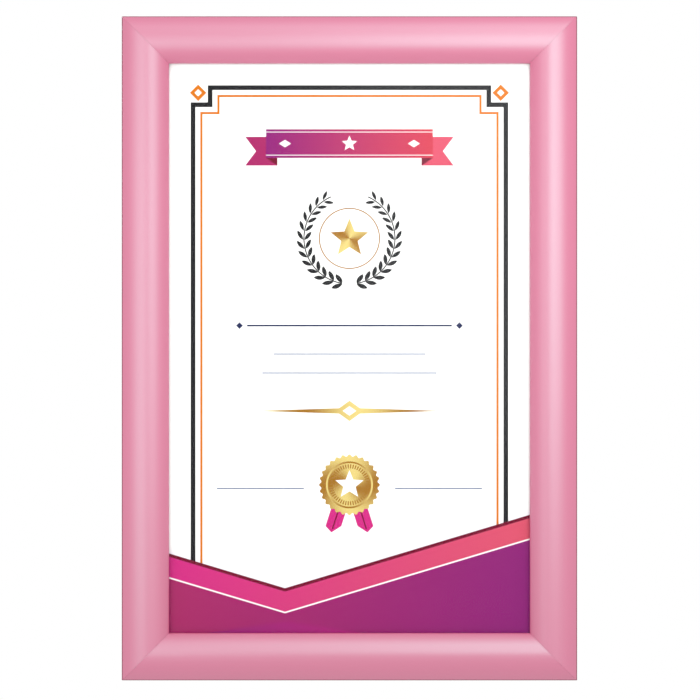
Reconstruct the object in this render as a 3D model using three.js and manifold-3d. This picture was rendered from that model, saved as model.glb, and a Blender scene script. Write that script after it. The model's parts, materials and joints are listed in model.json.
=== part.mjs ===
// A snap frame: four mitred front rails hinge open on four mitred base rails, and hold down a
// clear cover sheet, a print and a back panel. Millimetres, +Z up, the front faces -Y, and the
// origin is on the wall behind the middle of the top base rail, where the frame hangs.
import * as THREE from "three";
import { mergeVertices } from "three/addons/utils/BufferGeometryUtils.js";
import Module from "manifold-3d";

const wasm = await Module();
wasm.setup();

// Overall sizes
const FRAME_WIDTH = 240;
const FRAME_HEIGHT = 350;
const PROFILE_WIDTH = 25; // outer edge to the visible opening
const PROFILE_DEPTH = 12.5; // wall to the crown of the front rail
const MITRE_PLAY = 0.15; // each mitred end stands this far back, along its rail

// Base rail
const WEB = 1.2; // the flat against the wall
const BASE_WALL = 0.9; // upright at the outer edge
const BASE_WALL_RISE = 0.4; // its top above the hinge axis
const LEDGE_SETBACK = 2.5; // the web stops this far short of the opening
const RIB = 1; // both upright ribs of the corner key channel
const CHANNEL_LIP_REACH = 0.8;
const CHANNEL_LIP = 0.6;

// Hinge along the outer edge: a bead on the front rail turns in a socket on the base rail
const BEAD_RADIUS = 1.05;
const HINGE_PLAY = 0.2;
const SOCKET_WALL = 0.8;
const SOCKET_SETBACK = 0.15; // outside of the socket to the outer edge
const OPEN_ANGLE = 90; // degrees
const SOCKET_SPARE_ANGLE = 12; // the socket's mouth past the neck, each side, in degrees

// Front rail
const SHELL = 1.2;
const NECK = 1; // joins the bead to the upright
const UPRIGHT = 1;
const CROWN_SETBACK = 13; // crown line to the outer edge
const SWING_PLAY = 0.3; // the shell's round outer edge to the base rail's wall when open
const SHELL_OVERHANG = 1; // centre of the shell's round edge outside the hinge axis
const SHOULDER_RADIUS = 1.6; // round edge at the opening
const LIP_HEIGHT = 1.75; // straight inner face below the shoulder
const LIP_THICKNESS = 1.2;
const LIP_PLAY = 0.25; // lip to cover sheet
const ARM_GAP = 0.85; // socket to the arm that the springs press on
const ARM = 1;
const ARM_TAIL_ANGLE = 9; // the arm runs on past the springs' noses, in degrees

// Flat springs between the base rail and the front rail's arm
const SPRING_LENGTH = 15; // along the rail
const SPRING_THICKNESS = 0.5;
const FOOT_RADIUS = 0.5; // rolled edge, in the base rail's seat
const NOSE_RADIUS = 0.45; // rounded edge, against the arm
const NOSE_STAND_OFF = 0.35; // nose centre outside the arm
const NOSE_PLAY = 0.25;
const FOOT_PLAY = 0.25;
const SEAT_WALL = 0.7;
const SEAT_MOUTH = [68, 200]; // degrees
const FLOOR_PLAY = 0.15;
const SPRING_END_DISTANCE = 82; // outermost spring to the rail's end
const SPRINGS_SHORT = 2;
const SPRINGS_LONG = 3;
// The spring's bow: how far along from nose to foot, and how high, as shares of its span
const BOW = [
  [0.13, 0.055],
  [0.24, 0.18],
  [0.33, 0.265],
  [0.47, 0.33],
  [0.67, 0.32],
  [0.81, 0.22],
  [0.89, 0.12],
];

// Sheets, from the back to the front
const SHEET_PLAY = 0.6; // sheet's edge to the inner rib
const SHEET_GAP = 0.1;
const PANEL_THICKNESS = 2;
const PRINT_THICKNESS = 0.3;
const COVER_THICKNESS = 0.7;

// Corner keys and their set screws
const KEY_LEG = 38; // from the frame's outer edge
const KEY_WIDTH = 4.85;
const KEY_THICKNESS = 1.9;
const KEY_PLAY = 0.2;
const KEY_CHAMFER = 1.5;
const KEY_SCREW_DISTANCE = 27; // from the frame's outer edge
const SCREW_RADIUS = 1.25;
const SCREW_LENGTH = 2.6;
const SCREW_PLAY = 0.2;
const SCREW_LIP_PLAY = 0.25; // screw to the channel's lip
const HEX_RADIUS = 0.75;
const HEX_DEPTH = 1.3;

// Holes for wall screws, in the top and bottom base rails
const HOLE_RADIUS = 2.25;
const HEAD_ROOM_RADIUS = 3.7;
const HEAD_RECESS = 0.2; // into the web
const HOLE_END_DISTANCE = 58;

const ARC_STEPS = 7; // an arc has twice as many sides
const CUT_OVERRUN = 1;

const radians = THREE.MathUtils.degToRad;

// The section's own axes: u runs inwards from the frame's outer edge, v runs forward from the wall.
const armInner = BEAD_RADIUS + HINGE_PLAY + SOCKET_WALL + ARM_GAP;
const armOuter = armInner + ARM;
const socketInner = BEAD_RADIUS + HINGE_PLAY;
const socketOuter = socketInner + SOCKET_WALL;
const noseDistance = armOuter + NOSE_STAND_OFF; // hinge axis to nose centre
const hinge = new THREE.Vector2(
  SOCKET_SETBACK + socketOuter,
  WEB + FLOOR_PLAY + NOSE_RADIUS + noseDistance * Math.SQRT1_2,
);

const outerRibStart = hinge.x + noseDistance + NOSE_RADIUS + FOOT_PLAY;
const outerRibEnd = outerRibStart + RIB;
const innerRibStart = outerRibEnd + KEY_PLAY + KEY_WIDTH + KEY_PLAY;
const innerRibEnd = innerRibStart + RIB;
const sheetEdge = innerRibEnd + SHEET_PLAY;
const channelRoof = WEB + KEY_PLAY + KEY_THICKNESS + KEY_PLAY;
const seatInner = FOOT_RADIUS + FOOT_PLAY;
const seatOuter = seatInner + SEAT_WALL;
const foot = new THREE.Vector2(
  innerRibEnd - seatOuter,
  channelRoof + KEY_PLAY + seatOuter,
);

// The springs sit half the opening angle below the line from the hinge to their feet when shut.
const footLine = foot.clone().sub(hinge).angle();
const noseAngle = footLine - radians(OPEN_ANGLE / 2);
const nose = polar(hinge, noseDistance, noseAngle);

const panelBack = WEB + SHEET_GAP;
const printBack = panelBack + PANEL_THICKNESS + SHEET_GAP;
const coverBack = printBack + PRINT_THICKNESS + SHEET_GAP;
const lipEdge = coverBack + COVER_THICKNESS + LIP_PLAY;

// The shell's round outer edge swings down outside the base rail's wall as the rail opens.
const shellEdge = new THREE.Vector2(
  hinge.x - SHELL_OVERHANG,
  hinge.y + hinge.x + SHELL / 2 + SWING_PLAY,
);
const crownSpan = CROWN_SETBACK - shellEdge.x;
const crownRise = PROFILE_DEPTH - SHELL / 2 - shellEdge.y;
const shellRadius = (crownSpan ** 2 + crownRise ** 2) / (2 * crownRise); // at half its thickness

const screwLine =
  outerRibEnd + CHANNEL_LIP_REACH + SCREW_LIP_PLAY + SCREW_RADIUS;
const screwPlaces = [
  [KEY_SCREW_DISTANCE, screwLine],
  [screwLine, KEY_SCREW_DISTANCE],
];

// The wall screws' line is the origin's height, half way across the key channel.
const topEdge = (outerRibEnd + innerRibStart) / 2;
const bottomEdge = topEdge - FRAME_HEIGHT;

const material = (color, roughness, metalness, extra = {}) =>
  new THREE.MeshStandardMaterial({ color, roughness, metalness, ...extra });
const pinkCoat = material(0xe58aab, 0.42, 0.15);
const pinkCoatInside = material(0xc97296, 0.5, 0.15);
const springSteel = material(0x8d9096, 0.35, 1);
const zinc = material(0xb7bbc0, 0.4, 1);
const blackOxide = material(0x26282b, 0.45, 0.8);
const panelPlastic = material(0xe9e7e2, 0.6, 0);
const paper = material(0xfbfaf6, 0.85, 0);
const clearPlastic = material(0xf4f9fb, 0.12, 0, {
  transparent: true,
  opacity: 0.15,
});

function polar(centre, radius, angle) {
  return new THREE.Vector2(
    centre.x + radius * Math.cos(angle),
    centre.y + radius * Math.sin(angle),
  );
}

function rectangle(u0, v0, u1, v1) {
  return new THREE.Shape()
    .moveTo(u0, v0)
    .lineTo(u1, v0)
    .lineTo(u1, v1)
    .lineTo(u0, v1)
    .closePath();
}

function disc(centre, radius) {
  return new THREE.Shape().absarc(centre.x, centre.y, radius, 0, 2 * Math.PI);
}

function ringSector(centre, inner, outer, from, to) {
  return new THREE.Shape()
    .absarc(centre.x, centre.y, outer, from, to, false)
    .absarc(centre.x, centre.y, inner, to, from, true)
    .closePath();
}

function solidOf(geometry) {
  const bare = geometry.clone();
  bare.deleteAttribute("normal");
  bare.deleteAttribute("uv");
  const merged = mergeVertices(bare);
  return new wasm.Manifold(
    new wasm.Mesh({
      numProp: 3,
      vertProperties: merged.attributes.position.array,
      triVerts: new Uint32Array(merged.index.array),
    }),
  );
}

function meshOf(name, solid, finish) {
  const { vertProperties, triVerts } = solid.getMesh();
  const indexed = new THREE.BufferGeometry()
    .setAttribute("position", new THREE.BufferAttribute(vertProperties, 3))
    .setIndex(new THREE.BufferAttribute(triVerts, 1));
  const geometry = indexed.toNonIndexed();
  geometry.computeVertexNormals();
  const mesh = new THREE.Mesh(geometry, finish);
  mesh.name = name;
  return mesh;
}

// A section's shapes drawn out along X, centred: u becomes +Z and v becomes -Y.
const sectionToRail = new THREE.Matrix4().makeBasis(
  new THREE.Vector3(0, 0, 1),
  new THREE.Vector3(0, -1, 0),
  new THREE.Vector3(1, 0, 0),
);

function drawnOut(shape, length) {
  const geometry = new THREE.ExtrudeGeometry(shape, {
    depth: length,
    bevelEnabled: false,
    curveSegments: ARC_STEPS,
  });
  geometry.applyMatrix4(sectionToRail);
  geometry.translate(-length / 2, 0, 0);
  return solidOf(geometry);
}

const joined = (shapes, length) =>
  shapes
    .map((shape) => drawnOut(shape, length))
    .reduce((all, one) => all.add(one));

// Slopes both ends of a drawn-out rail at 45 degrees, so that it gets shorter inwards.
function mitred(solid, length) {
  const mesh = solid.getMesh();
  const points = mesh.vertProperties;
  for (let i = 0; i < points.length; i += 3) {
    const end = length / 2 - points[i + 2] - MITRE_PLAY;
    points[i] = Math.sign(points[i]) * end;
  }
  return new wasm.Manifold(mesh);
}

function box(x0, x1, y0, y1, z0, z1) {
  const geometry = new THREE.BoxGeometry(x1 - x0, y1 - y0, z1 - z0);
  geometry.translate((x0 + x1) / 2, (y0 + y1) / 2, (z0 + z1) / 2);
  return solidOf(geometry);
}

// A cylinder along Y, from y0 to y1.
function post(x, z, radius, y0, y1, sides) {
  const geometry = new THREE.CylinderGeometry(radius, radius, y1 - y0, sides);
  geometry.translate(x, (y0 + y1) / 2, z);
  return solidOf(geometry);
}

function baseSection() {
  const neckHalf =
    Math.asin(NECK / 2 / socketInner) + radians(SOCKET_SPARE_ANGLE);
  const mouthEnd = radians(OPEN_ANGLE) + neckHalf;
  return [
    rectangle(0, 0, PROFILE_WIDTH - LEDGE_SETBACK, WEB),
    rectangle(0, 0, BASE_WALL, hinge.y + BASE_WALL_RISE),
    ringSector(
      hinge,
      socketInner,
      socketOuter,
      mouthEnd,
      2 * Math.PI - neckHalf,
    ),
    rectangle(outerRibStart, 0, outerRibEnd, channelRoof + CHANNEL_LIP),
    rectangle(
      outerRibStart,
      channelRoof,
      outerRibEnd + CHANNEL_LIP_REACH,
      channelRoof + CHANNEL_LIP,
    ),
    rectangle(innerRibStart, 0, innerRibEnd, foot.y),
    ringSector(
      foot,
      seatInner,
      seatOuter,
      radians(SEAT_MOUTH[1]),
      radians(SEAT_MOUTH[0] + 360),
    ),
  ];
}

function baseRail(length, wallHoles) {
  const seatBore = drawnOut(disc(foot, seatInner), length + 2 * CUT_OVERRUN);
  const whole = joined(baseSection(), length).subtract(seatBore);
  let rail = mitred(whole, length);
  if (!wallHoles) return rail;
  for (const side of [-1, 1]) {
    const x = side * (length / 2 - HOLE_END_DISTANCE);
    const through = post(
      x,
      topEdge,
      HOLE_RADIUS,
      -WEB - CUT_OVERRUN,
      CUT_OVERRUN,
      24,
    );
    const headRoom = post(
      x,
      topEdge,
      HEAD_ROOM_RADIUS,
      -PROFILE_DEPTH,
      HEAD_RECESS - WEB,
      24,
    );
    rail = rail.subtract(through).subtract(headRoom);
  }
  return rail;
}

// The front rail's curved shell: a long arc each side of the crown, a round outer edge, a tighter
// shoulder at the opening, and a straight lip that stops short of the cover sheet.
function shellSection() {
  const outer = shellRadius + SHELL / 2;
  const edgeAngle = Math.PI - Math.acos(crownSpan / shellRadius);

  const shoulder = new THREE.Vector2(
    PROFILE_WIDTH - SHOULDER_RADIUS,
    lipEdge + LIP_HEIGHT,
  );
  const inwards = shoulder.x - CROWN_SETBACK;
  const drop = PROFILE_DEPTH - shoulder.y;
  const inner =
    (inwards ** 2 + drop ** 2 - SHOULDER_RADIUS ** 2) /
    (2 * (drop - SHOULDER_RADIUS));
  const shoulderAngle = Math.acos(inwards / (inner - SHOULDER_RADIUS));
  const lipInner = PROFILE_WIDTH - LIP_THICKNESS;
  const lipAngle = Math.acos((lipInner - CROWN_SETBACK) / (inner - SHELL));

  return new THREE.Shape()
    .moveTo(lipInner, lipEdge)
    .lineTo(PROFILE_WIDTH, lipEdge)
    .absarc(shoulder.x, shoulder.y, SHOULDER_RADIUS, 0, shoulderAngle)
    .absarc(
      CROWN_SETBACK,
      PROFILE_DEPTH - inner,
      inner,
      shoulderAngle,
      Math.PI / 2,
    )
    .absarc(
      CROWN_SETBACK,
      PROFILE_DEPTH - outer,
      outer,
      Math.PI / 2,
      edgeAngle,
    )
    .absarc(
      shellEdge.x,
      shellEdge.y,
      SHELL / 2,
      edgeAngle,
      edgeAngle + Math.PI,
    )
    .absarc(
      CROWN_SETBACK,
      PROFILE_DEPTH - outer,
      outer - SHELL,
      edgeAngle,
      Math.PI / 2,
      true,
    )
    .absarc(
      CROWN_SETBACK,
      PROFILE_DEPTH - inner,
      inner - SHELL,
      Math.PI / 2,
      lipAngle,
      true,
    )
    .closePath();
}

function frontRail(length) {
  const uprightStart = hinge.x + armInner;
  const uprightEnd = hinge.x + armOuter;
  const uprightTop =
    PROFILE_DEPTH -
    SHELL / 2 -
    shellRadius +
    Math.sqrt(shellRadius ** 2 - (CROWN_SETBACK - uprightStart) ** 2);
  const tail = noseAngle - radians(ARM_TAIL_ANGLE);
  const whole = joined(
    [
      shellSection(),
      disc(hinge, BEAD_RADIUS),
      rectangle(hinge.x, hinge.y - NECK / 2, uprightEnd, hinge.y + NECK / 2),
      rectangle(
        uprightEnd - UPRIGHT,
        hinge.y - NECK / 2,
        uprightEnd,
        uprightTop,
      ),
      ringSector(hinge, armInner, armOuter, tail, 0),
    ],
    length,
  );
  const groove = drawnOut(
    disc(nose, NOSE_RADIUS + NOSE_PLAY),
    length + 2 * CUT_OVERRUN,
  );
  let rail = mitred(whole.subtract(groove), length);
  // The parts that turn inwards round the hinge stop short of the mitre at each end.
  const reach = hinge.x + armOuter + HINGE_PLAY;
  const roof = shellEdge.y - SHELL / 2 - HINGE_PLAY;
  for (const side of [-1, 1]) {
    const ends = [
      side * (length / 2 + CUT_OVERRUN),
      side * (length / 2 - reach),
    ];
    rail = rail.subtract(
      box(
        Math.min(...ends),
        Math.max(...ends),
        -roof,
        CUT_OVERRUN,
        -CUT_OVERRUN,
        reach,
      ),
    );
  }
  return rail;
}

// A strip bent to a bow, rolled at the foot and rounded at the nose.
function spring() {
  const span = foot.clone().sub(nose);
  const up = new THREE.Vector2(-span.y, span.x);
  const bow = new THREE.SplineCurve([
    nose,
    ...BOW.map(([along, high]) =>
      nose.clone().addScaledVector(span, along).addScaledVector(up, high),
    ),
    foot,
  ]);
  const half = SPRING_THICKNESS / 2;
  const middles = bow.getPoints(3 * ARC_STEPS);
  const edge = (side) =>
    middles.map((point, i) => {
      const ahead = bow.getTangent(i / (middles.length - 1));
      return new THREE.Vector2(-ahead.y, ahead.x)
        .multiplyScalar(side * half)
        .add(point);
    });
  const strip = new THREE.Shape([...edge(-1), ...edge(1).reverse()]);
  return joined(
    [strip, disc(foot, FOOT_RADIUS), disc(nose, NOSE_RADIUS)],
    SPRING_LENGTH,
  );
}

// An L with a leg in each rail's channel. It lies in the corner between +X and +Z.
function cornerKey() {
  const near = outerRibEnd + KEY_PLAY;
  const far = near + KEY_WIDTH;
  const outline = new THREE.Shape()
    .moveTo(near + KEY_CHAMFER, near)
    .lineTo(KEY_LEG - KEY_CHAMFER, near)
    .lineTo(KEY_LEG, near + KEY_CHAMFER)
    .lineTo(KEY_LEG, far)
    .lineTo(far, far)
    .lineTo(far, KEY_LEG)
    .lineTo(near + KEY_CHAMFER, KEY_LEG)
    .lineTo(near, KEY_LEG - KEY_CHAMFER)
    .lineTo(near, near + KEY_CHAMFER)
    .closePath();
  const geometry = new THREE.ExtrudeGeometry(outline, {
    depth: KEY_THICKNESS,
    bevelEnabled: false,
  });
  geometry.rotateX(Math.PI / 2);
  geometry.translate(0, -WEB - KEY_PLAY, 0);
  return screwPlaces.reduce(
    (key, [x, z]) =>
      key.subtract(
        post(x, z, SCREW_RADIUS + SCREW_PLAY, -channelRoof, -WEB, 20),
      ),
    solidOf(geometry),
  );
}

function setScrew(x, z) {
  const back = -WEB - SHEET_GAP;
  const front = back - SCREW_LENGTH;
  return post(x, z, SCREW_RADIUS, front, back, 16).subtract(
    post(x, z, HEX_RADIUS, front - CUT_OVERRUN, front + HEX_DEPTH, 6),
  );
}

function sheet(back, thickness) {
  const half = FRAME_WIDTH / 2 - sheetEdge;
  return box(
    -half,
    half,
    -back - thickness,
    -back,
    bottomEdge + sheetEdge,
    topEdge - sheetEdge,
  );
}

// Each side is modelled as the bottom one and turned about Y, as is each corner.
const sides = [
  { name: "bottom", turn: 0, x: 0, z: bottomEdge, length: FRAME_WIDTH },
  {
    name: "right",
    turn: -Math.PI / 2,
    x: FRAME_WIDTH / 2,
    z: (topEdge + bottomEdge) / 2,
    length: FRAME_HEIGHT,
  },
  { name: "top", turn: Math.PI, x: 0, z: topEdge, length: FRAME_WIDTH },
  {
    name: "left",
    turn: Math.PI / 2,
    x: -FRAME_WIDTH / 2,
    z: (topEdge + bottomEdge) / 2,
    length: FRAME_HEIGHT,
  },
];
const corners = [
  { name: "bottom_left", turn: 0, x: -FRAME_WIDTH / 2, z: bottomEdge },
  {
    name: "bottom_right",
    turn: -Math.PI / 2,
    x: FRAME_WIDTH / 2,
    z: bottomEdge,
  },
  { name: "top_right", turn: Math.PI, x: FRAME_WIDTH / 2, z: topEdge },
  { name: "top_left", turn: Math.PI / 2, x: -FRAME_WIDTH / 2, z: topEdge },
];

function placed({ turn, x, z }, meshes) {
  const group = new THREE.Group();
  group.position.set(x, 0, z);
  group.rotation.y = turn;
  group.add(...meshes);
  return group;
}

function sideOfFrame(side) {
  const short = side.length === FRAME_WIDTH;
  const count = short ? SPRINGS_SHORT : SPRINGS_LONG;
  const first = -(side.length / 2 - SPRING_END_DISTANCE);
  const springs = Array.from({ length: count }, (_, i) => {
    const mesh = meshOf(
      `spring_${side.name}_${i + 1}`,
      spring(),
      springSteel,
    );
    mesh.position.x = first * (1 - (2 * i) / (count - 1));
    return mesh;
  });
  return placed(side, [
    meshOf(
      `base_rail_${side.name}`,
      baseRail(side.length, short),
      pinkCoatInside,
    ),
    meshOf(`front_rail_${side.name}`, frontRail(side.length), pinkCoat),
    ...springs,
  ]);
}

function cornerOfFrame(corner) {
  const screws = screwPlaces.map(([x, z], i) =>
    meshOf(`set_screw_${corner.name}_${i + 1}`, setScrew(x, z), blackOxide),
  );
  return placed(corner, [
    meshOf(`corner_key_${corner.name}`, cornerKey(), zinc),
    ...screws,
  ]);
}

const snapFrame = new THREE.Group();
snapFrame.add(
  ...sides.map(sideOfFrame),
  ...corners.map(cornerOfFrame),
  meshOf("back_panel", sheet(panelBack, PANEL_THICKNESS), panelPlastic),
  meshOf("print_sheet", sheet(printBack, PRINT_THICKNESS), paper),
  meshOf("cover_sheet", sheet(coverBack, COVER_THICKNESS), clearPlastic),
);

export default snapFrame;
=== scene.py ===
"""Dresses a packed snap frame: satin rails, flat springs, corner keys, sheets and a printed card.

Metres, +Z up, with the wall plane at Y 0 and the front towards -Y. Sections of a rail are drawn in
millimetres: u runs inwards from the frame's outer edge, v runs forward from the wall.
"""

import json
import logging
import math
from abc import ABC, abstractmethod
from collections.abc import Sequence
from dataclasses import dataclass
from enum import Enum

import bmesh
import bpy
from bmesh.types import BMEdge, BMesh, BMVert
from bpy.types import ID, Material, Mesh, NodeSocket, Object
from mathutils import Matrix, Vector


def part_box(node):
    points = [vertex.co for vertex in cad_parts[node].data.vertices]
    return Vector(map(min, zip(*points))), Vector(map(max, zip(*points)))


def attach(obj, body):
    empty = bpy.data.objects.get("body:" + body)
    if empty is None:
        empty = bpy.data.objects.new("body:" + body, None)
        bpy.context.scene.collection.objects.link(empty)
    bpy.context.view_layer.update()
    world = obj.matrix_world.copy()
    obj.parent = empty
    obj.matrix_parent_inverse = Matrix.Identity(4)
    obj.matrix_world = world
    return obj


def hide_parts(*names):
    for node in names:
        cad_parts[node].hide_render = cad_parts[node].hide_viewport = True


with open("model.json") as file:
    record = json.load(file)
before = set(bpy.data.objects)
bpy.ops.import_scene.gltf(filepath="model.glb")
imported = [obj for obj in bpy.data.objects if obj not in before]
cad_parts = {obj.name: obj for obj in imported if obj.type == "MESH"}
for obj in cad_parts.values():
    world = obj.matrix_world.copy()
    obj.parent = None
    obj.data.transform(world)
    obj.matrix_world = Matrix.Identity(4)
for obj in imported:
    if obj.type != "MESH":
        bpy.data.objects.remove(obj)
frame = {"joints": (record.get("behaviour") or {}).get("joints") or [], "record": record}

MM = 0.001
FINE_TURN = 3.0  # degrees of arc for each step on the large, visible curves
KNEE_TURN = 8.0  # degrees for each step on the rails' inner edge
SMALL_TURN = 15.0  # degrees for each step on the small curves
FILLET_STEPS = 4
EDGE_STEPS = 3
WORN_STEPS = 2
WELD = 0.004  # millimetres between points that become one
FINE_WELD = 0.002
ON_CUT = 1e-7  # metres within which a point lies on a saw cut
SHARP_ANGLE = math.radians(28)
LOG = logging.getLogger("snap_frame")

Operand = "Field | float"
Linear = tuple[float, float, float, float]


def srgb(red: float, green: float, blue: float) -> Linear:
    """Turns a colour as seen on a screen into the linear one that shaders take.

    Args:
        red: 0 to 255.
        green: 0 to 255.
        blue: 0 to 255.

    Returns:
        The linear colour, with an alpha of 1.
    """
    parts = [c / 255 for c in (red, green, blue)]
    line = [c / 12.92 if c <= 0.04045 else ((c + 0.055) / 1.055) ** 2.4 for c in parts]
    return (line[0], line[1], line[2], 1.0)


def dimmed(colour: Linear, share: float) -> Linear:
    """Scales a linear colour's brightness by share."""
    return (colour[0] * share, colour[1] * share, colour[2] * share, 1.0)


# Materials


class Field:
    """A socket inside a material. Arithmetic on it adds Math nodes to the material."""

    def __init__(self, graph: "Graph", socket: NodeSocket) -> None:
        """Keeps the socket and the graph that holds it."""
        self.graph = graph
        self.socket = socket

    def __add__(self, other: Operand) -> "Field":
        """This plus other."""
        return self.graph.math("ADD", self, other)

    def __sub__(self, other: Operand) -> "Field":
        """This less other."""
        return self.graph.math("SUBTRACT", self, other)

    def __rsub__(self, other: float) -> "Field":
        """The number other less this."""
        return self.graph.math("SUBTRACT", other, self)

    def __mul__(self, other: Operand) -> "Field":
        """This times other."""
        return self.graph.math("MULTIPLY", self, other)

    def __truediv__(self, other: Operand) -> "Field":
        """This divided by other."""
        return self.graph.math("DIVIDE", self, other)

    def __mod__(self, other: Operand) -> "Field":
        """The remainder of this by other, never negative."""
        return self.graph.math("FLOORED_MODULO", self, other)

    def __abs__(self) -> "Field":
        """This without its sign."""
        return self.graph.math("ABSOLUTE", self)

    def __neg__(self) -> "Field":
        """This with the other sign."""
        return self * -1.0

    __radd__ = __add__
    __rmul__ = __mul__

    def larger(self, other: Operand) -> "Field":
        """The larger of this and other."""
        return self.graph.math("MAXIMUM", self, other)

    def smaller(self, other: Operand) -> "Field":
        """The smaller of this and other."""
        return self.graph.math("MINIMUM", self, other)

    def clipped(self) -> "Field":
        """This, kept between 0 and 1."""
        return self.larger(0.0).smaller(1.0)

    def wave(self) -> "Field":
        """This angle's sine, moved to run from 0 to 1."""
        return self.graph.math("SINE", self) * 0.5 + 0.5


class Graph:
    """One material's nodes, added from code."""

    def __init__(self, name: str) -> None:
        """Makes an empty node material.

        Args:
            name: of the material.
        """
        self.material = bpy.data.materials.new(name)
        self.material.use_nodes = True
        self.tree = self.material.node_tree
        self.tree.nodes.clear()

    def node(
        self,
        kind: str,
        settings: dict | None = None,
        inputs: dict | None = None,
        output: int | str = 0,
    ) -> Field:
        """Adds one node.

        Args:
            kind: Blender's name of the node type.
            settings: the node's own properties, set first.
            inputs: a value or a Field for each socket, by its name or number.
            output: which output to hand back.

        Returns:
            The chosen output.
        """
        made = self.tree.nodes.new(kind)
        for key, value in (settings or {}).items():
            setattr(made, key, value)
        for key, value in (inputs or {}).items():
            if isinstance(value, Field):
                self.tree.links.new(value.socket, made.inputs[key])
            else:
                made.inputs[key].default_value = value
        return Field(self, made.outputs[output])

    def math(self, operation: str, *operands: Operand) -> Field:
        """Adds one Math node with the operands in order."""
        return self.node("ShaderNodeMath", {"operation": operation}, dict(enumerate(operands)))

    def mix(self, share: Operand, below: Field | Linear, above: Field | Linear, way: str = "MIX") -> Field:
        """Lays one colour over another, by a share from 0 to 1."""
        settings = {"data_type": "RGBA", "blend_type": way}
        # 6, 7 and output 2 are the node's sockets for colours
        return self.node("ShaderNodeMix", settings, {0: share, 6: below, 7: above}, 2)

    def place(self, centre: Vector = Vector(), stretch: Sequence[float] = (1, 1, 1)) -> Field:
        """Gives a point's place on the piece, in millimetres.

        Args:
            centre: where the place is zero, in metres.
            stretch: a factor for each axis.

        Returns:
            The place as a vector.
        """
        seen = self.node("ShaderNodeTexCoord", output="Object")
        scale = [s / MM for s in stretch]
        shift = [-c * s for c, s in zip(centre, scale)]
        return self.node("ShaderNodeMapping", {}, {0: seen, "Location": shift, "Scale": scale})

    def split(self, vector: Field) -> list[Field]:
        """The three parts of a vector."""
        parts = self.node("ShaderNodeSeparateXYZ", {}, {0: vector})
        return [Field(self, socket) for socket in parts.socket.node.outputs]

    def noise(self, place: Field, size: float, detail: float = 2.0) -> Field:
        """Smooth noise from 0 to 1, with blotches about size millimetres wide."""
        sockets = {"Vector": place, "Scale": 1 / size, "Detail": detail}
        return self.node("ShaderNodeTexNoise", {}, sockets)

    def bump(self, height: Operand, depth: float) -> Field:
        """Normals of a relief of a height from 0 to 1 and a depth in millimetres."""
        return self.node("ShaderNodeBump", {}, {"Height": height, "Distance": depth * MM})

    def surface(self, **inputs: object) -> Material:
        """Ends the material in a Principled shader.

        Args:
            inputs: its sockets, with _ for a blank in their names.

        Returns:
            The finished material.
        """
        sockets = {name.replace("_", " "): value for name, value in inputs.items()}
        shader = self.node("ShaderNodeBsdfPrincipled", {}, sockets)
        end = self.tree.nodes.new("ShaderNodeOutputMaterial")
        self.tree.links.new(shader.socket, end.inputs["Surface"])
        return self.material


@dataclass(frozen=True)
class Grain:
    """A layer of noise in a finish, and how much of it goes into each of its features."""

    size: float  # mm across a blotch
    detail: float = 2.0
    stretch: tuple[float, float, float] = (1.0, 1.0, 1.0)
    tone: float = 0.0
    matt: float = 0.0
    relief: float = 0.0


@dataclass(frozen=True)
class Finish:
    """Two colours, a roughness and a fine relief, all varied by layers of grain."""

    name: str
    first: Linear
    second: Linear
    roughness: float  # with no grain
    depth: float  # of the relief, in millimetres
    grains: tuple[Grain, ...]
    tone: float = 0.0  # the second colour's share with no grain
    metallic: float = 1.0
    gloss: float = 1.5
    sheen: Linear = (1.0, 1.0, 1.0, 1.0)

    def material(self) -> Material:
        """Builds the finish.

        Returns:
            The material.
        """
        graph = Graph(self.name)
        features: dict[str, Operand] = {"tone": self.tone, "matt": self.roughness, "relief": 0.0}
        for grain in self.grains:
            noise = graph.noise(graph.place(stretch=grain.stretch), grain.size, grain.detail)
            for feature, so_far in features.items():
                share = getattr(grain, feature)
                if share:
                    features[feature] = noise * share + so_far
        return graph.surface(
            Base_Color=graph.mix(features["tone"], self.first, self.second),
            Metallic=self.metallic,
            Roughness=features["matt"],
            IOR=self.gloss,
            Specular_Tint=self.sheen,
            Normal=graph.bump(features["relief"], self.depth),
        )


class Way(Enum):
    """Which way a rail runs, as how its coat's lines are drawn out."""

    LEVEL = (0.004, 1.0, 1.0)
    UPRIGHT = (1.0, 1.0, 0.004)


@dataclass(frozen=True)
class SatinCoat:
    """A smooth satin coat on extruded aluminium, with the die's lines faintly showing through."""

    name: str
    colour: Linear
    roughness: float
    gloss: float
    sheen: Linear = (0.46, 1.0, 0.95, 1.0)  # cool, so that the highlights stay pale
    contrast: float = 0.04

    def material(self, way: Way) -> Material:
        """Builds the coat.

        Args:
            way: how the rail runs.

        Returns:
            The material.
        """
        cloud = Grain(60.0, tone=0.5)
        skin = Grain(0.9, 1.0, matt=0.04, relief=0.3)
        lines = Grain(1.3, 3.0, way.value, tone=0.8, matt=0.08, relief=0.7)
        return Finish(
            f"{self.name}_{way.name.lower()}",
            dimmed(self.colour, 1 - self.contrast),
            dimmed(self.colour, 1 + self.contrast),
            self.roughness - (skin.matt + lines.matt) / 2,
            depth=0.006,
            grains=(cloud, skin, lines),
            tone=0.5 - (cloud.tone + lines.tone) / 2,
            metallic=0.0,
            gloss=self.gloss,
            sheen=self.sheen,
        ).material()


PINK = SatinCoat("satin_pink_coat", (0.535, 0.07, 0.175, 1.0), 0.4, 2.35)
# A darker copy of the pink coat for the base rails: painted shade, standing in for the shadow line along
# the frame's outer edge
PAINTED_SHADE_PINK = SatinCoat("satin_pink_coat_painted_shade", (0.245, 0.02, 0.062, 1.0), 0.5, 1.42)
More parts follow.
